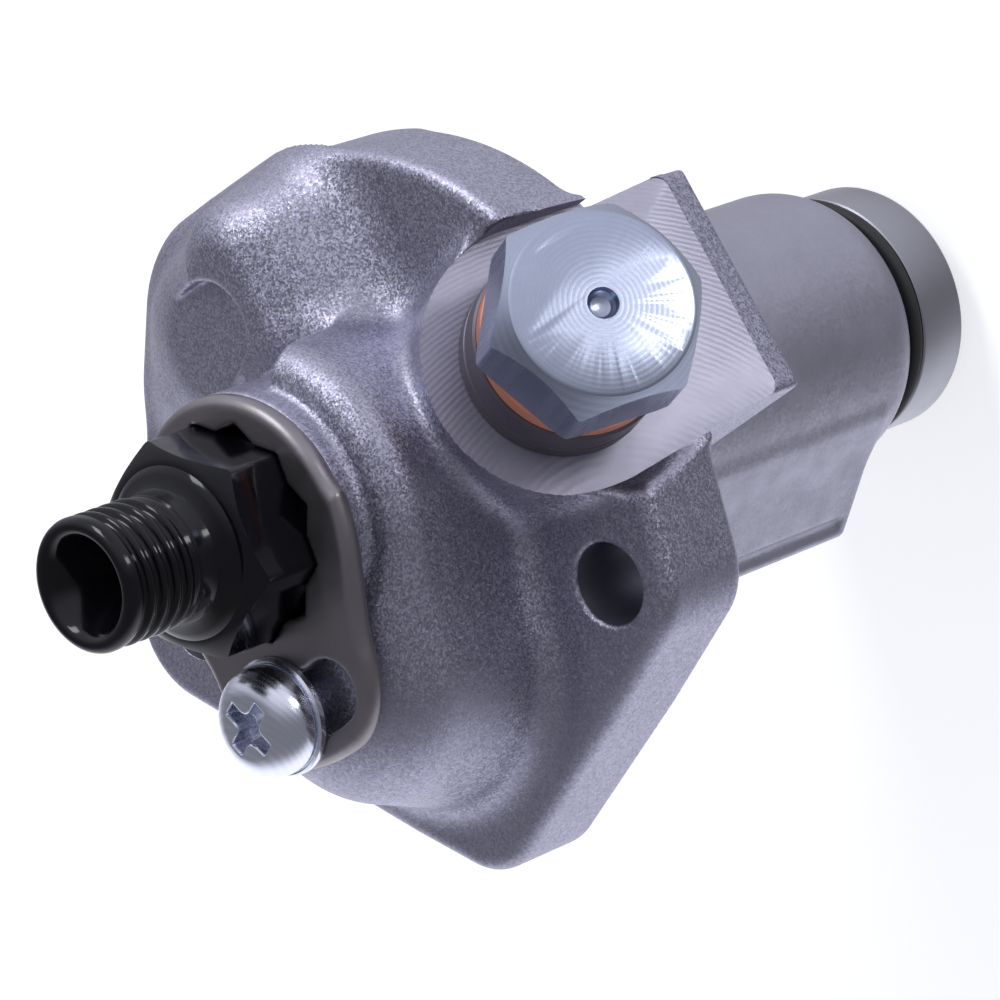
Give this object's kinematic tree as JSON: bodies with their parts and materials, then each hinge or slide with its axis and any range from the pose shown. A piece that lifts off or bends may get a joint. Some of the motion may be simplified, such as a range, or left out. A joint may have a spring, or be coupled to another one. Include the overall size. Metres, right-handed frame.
{
  "type": "diesel injection pump",
  "caption": "Flange-mounted single-plunger diesel injection pump with a roller tappet, side inlet bolt and threaded delivery valve holder.",
  "frame": {"origin": "where the spigot axis meets the flange's mounting face", "axes": "+Z along the plunger axis towards the delivery outlet, +X towards the inlet boss"},
  "size_m": [0.0793, 0.0652, 0.108],
  "materials": {
    "cast_body": "rough",
    "black_steel": "glossy",
    "plate_steel": "satin",
    "zinc": "satin",
    "collar_steel": "satin",
    "copper": "satin",
    "ground_steel": "polished",
    "spring_steel": "satin",
    "rubber": "matte",
    "bronze": "satin"
  },
  "bodies": {
    "housing": {"pump_housing": "cast_body", "plunger_barrel": "ground_steel", "barrel_pin": "ground_steel", "delivery_valve_seat": "ground_steel", "valve_gasket": "copper", "delivery_valve_holder": "black_steel", "holder_o_ring": "rubber", "lock_plate": "plate_steel", "lock_screw": "zinc", "screw_washer": "zinc", "inlet_plug": "zinc", "inlet_collar": "collar_steel", "inlet_washer": "copper", "spigot_o_ring": "rubber", "upper_spring_seat": "plate_steel", "tappet_guide_pin": "ground_steel", "delivery_valve_spring": "spring_steel", "plunger_spring": "spring_steel"},
    "tappet": {"tappet_body": "ground_steel", "roller_pin": "ground_steel", "timing_shim": "ground_steel", "lower_spring_seat": "plate_steel"},
    "roller": {"roller": "ground_steel", "roller_bush": "bronze"},
    "plunger": {"plunger": "ground_steel"},
    "control": {"control_sleeve": "ground_steel", "control_arm": "plate_steel"},
    "valve": {"delivery_valve": "ground_steel"}
  },
  "joints": [
    {"name": "tappet_slide", "type": "slide", "parent": "housing", "child": "tappet", "axis": [0, 0, 1], "range_m": [0, 0.008], "stiffness_N_per_m": 4000, "springref_m": -0.008, "deforming": ["plunger_spring"]},
    {"name": "roller_spin", "type": "hinge", "parent": "tappet", "child": "roller", "pos_m": [0, 0, -0.0556], "axis": [0, 1, 0], "continuous": true},
    {"name": "plunger_turn", "type": "hinge", "parent": "tappet", "child": "plunger", "pos_m": [0, 0, -0.0477], "axis": [0, 0, 1], "range_deg": [-20, 20]},
    {"name": "control_turn", "type": "hinge", "parent": "housing", "child": "control", "pos_m": [0, 0, -0.0174], "axis": [0, 0, 1], "range_deg": [-20, 20]},
    {"name": "valve_lift", "type": "slide", "parent": "housing", "child": "valve", "axis": [0, 0, 1], "range_m": [0, 0.0025], "stiffness_N_per_m": 3000, "springref_m": -0.004, "deforming": ["delivery_valve_spring"]}
  ],
  "couplings": [
    {"joint": "plunger_turn", "follows": "control_turn", "ratio": 1}
  ]
}
